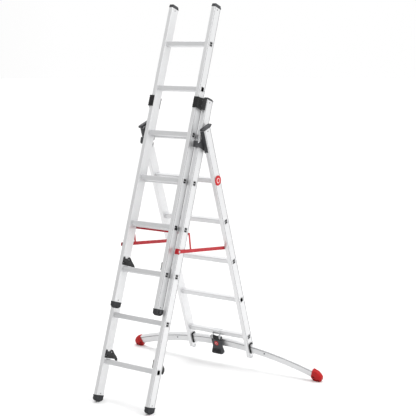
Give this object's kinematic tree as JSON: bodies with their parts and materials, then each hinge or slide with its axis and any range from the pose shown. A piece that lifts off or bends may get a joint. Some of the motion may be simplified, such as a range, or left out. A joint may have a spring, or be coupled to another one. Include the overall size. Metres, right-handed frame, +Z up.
{
  "type": "multi position ladder",
  "caption": "Multi position ladder with a base, a raised sliding extension and a folding rear section on an arched levelling bar, with red spreader and foot pedal.",
  "frame": {"origin": "centre of the footprint box at floor level", "axes": "+Z up, +X across the ladder to its right seen from the front, +Y towards the rear section; the climber stands on the -Y side"},
  "size_m": [1.488, 1.1274, 2.3428],
  "materials": {
    "alu": "satin extruded aluminium",
    "alu_rung": "satin extruded aluminium, grooved tread",
    "grey_plastic": "matte moulded dark grey",
    "black_plastic": "matte moulded black",
    "steel": "zinc-plated",
    "red_paint": "semi-gloss red coating",
    "red_plastic": "semi-gloss moulded red",
    "red_rubber": "matte moulded red"
  },
  "bodies": {
    "base": {"base_stile_left": "alu", "base_stile_right": "alu", "base_rungs": "alu_rung", "base_top_caps": "grey_plastic", "base_feet": "grey_plastic", "base_rivets": "steel", "base_guide_left": "black_plastic", "base_guide_right": "black_plastic", "hinge_shell_left": "grey_plastic", "hinge_shell_right": "grey_plastic", "hinge_strike_plates": "steel", "hinge_pins": "steel", "spreader_clips": "red_paint", "spreader_pivot_bolts": "steel", "base_latch_bolts": "steel"},
    "extension": {"ext_stile_left": "alu", "ext_stile_right": "alu", "ext_rungs": "alu_rung", "ext_top_caps": "grey_plastic", "ext_feet": "grey_plastic", "ext_rivets": "steel", "ext_lower_guides": "grey_plastic", "ext_latch_bolts": "steel"},
    "rear": {"rear_stile_left": "alu", "rear_stile_right": "alu", "rear_rungs": "alu_rung", "rear_top_caps": "grey_plastic", "rear_rivets": "steel", "hinge_plate_left": "grey_plastic", "hinge_plate_right": "grey_plastic", "spreader_studs": "steel", "badge_disc": "red_plastic", "bar_collars": "black_plastic", "stile_end_rings": "steel", "pedal_bracket": "steel", "pedal_axle": "steel", "pedal_spring": "steel"},
    "spreader": {"spreader_bar_left": "red_paint", "spreader_bar_right": "red_paint", "spreader_end_tabs": "red_paint", "spreader_risers": "red_paint", "spreader_handle": "red_paint"},
    "stabiliser": {"stabiliser_bar": "alu", "stabiliser_cap_left": "red_rubber", "stabiliser_cap_right": "red_rubber", "stabiliser_stop_screws": "steel"},
    "pedal": {"pedal_plate": "grey_plastic", "pedal_hub": "black_plastic", "pedal_brake_shoe": "black_plastic", "pedal_badge": "red_plastic"},
    "base_latch_l": {"base_latch_left": "black_plastic"},
    "base_latch_r": {"base_latch_right": "black_plastic"},
    "ext_latch_l": {"ext_latch_left": "black_plastic"},
    "ext_latch_r": {"ext_latch_right": "black_plastic"}
  },
  "joints": [
    {"name": "extension_slide", "type": "slide", "parent": "base", "child": "extension", "axis": [0, 0.3256, 0.9455], "range_m": [-0.56, 0.28]},
    {"name": "rear_fold", "type": "hinge", "parent": "base", "child": "rear", "pos_m": [0, 0.00323, 1.49139], "axis": [-1, 0, 0], "range_deg": [0, 33]},
    {"name": "spreader_swing", "type": "hinge", "parent": "base", "child": "spreader", "pos_m": [0, -0.25814, 0.90663], "axis": [-1, 0, 0], "range_deg": [0, 100]},
    {"name": "stabiliser_level", "type": "hinge", "parent": "rear", "child": "stabiliser", "pos_m": [0, 1.16381, -1.80008], "axis": [0, -0.9455, -0.3256], "range_deg": [-2.5, 2.5]},
    {"name": "pedal_lift", "type": "hinge", "parent": "rear", "child": "pedal", "pos_m": [0, 0.44524, 0.19465], "axis": [-1, 0, 0], "range_deg": [0, 20], "stiffness_Nm_per_rad": 1, "springref_deg": -17.19},
    {"name": "base_latch_left_swing", "type": "hinge", "parent": "base", "child": "base_latch_l", "pos_m": [-0.17775, -0.46166, 0.2956], "axis": [1, 0, 0], "range_deg": [0, 105]},
    {"name": "base_latch_right_swing", "type": "hinge", "parent": "base", "child": "base_latch_r", "pos_m": [0.17775, -0.46166, 0.2956], "axis": [1, 0, 0], "range_deg": [0, 105]},
    {"name": "ext_latch_left_swing", "type": "hinge", "parent": "extension", "child": "ext_latch_l", "pos_m": [-0.1425, -0.32804, 0.84186], "axis": [1, 0, 0], "range_deg": [0, 105]},
    {"name": "ext_latch_right_swing", "type": "hinge", "parent": "extension", "child": "ext_latch_r", "pos_m": [0.1425, -0.32804, 0.84186], "axis": [1, 0, 0], "range_deg": [0, 105]}
  ]
}
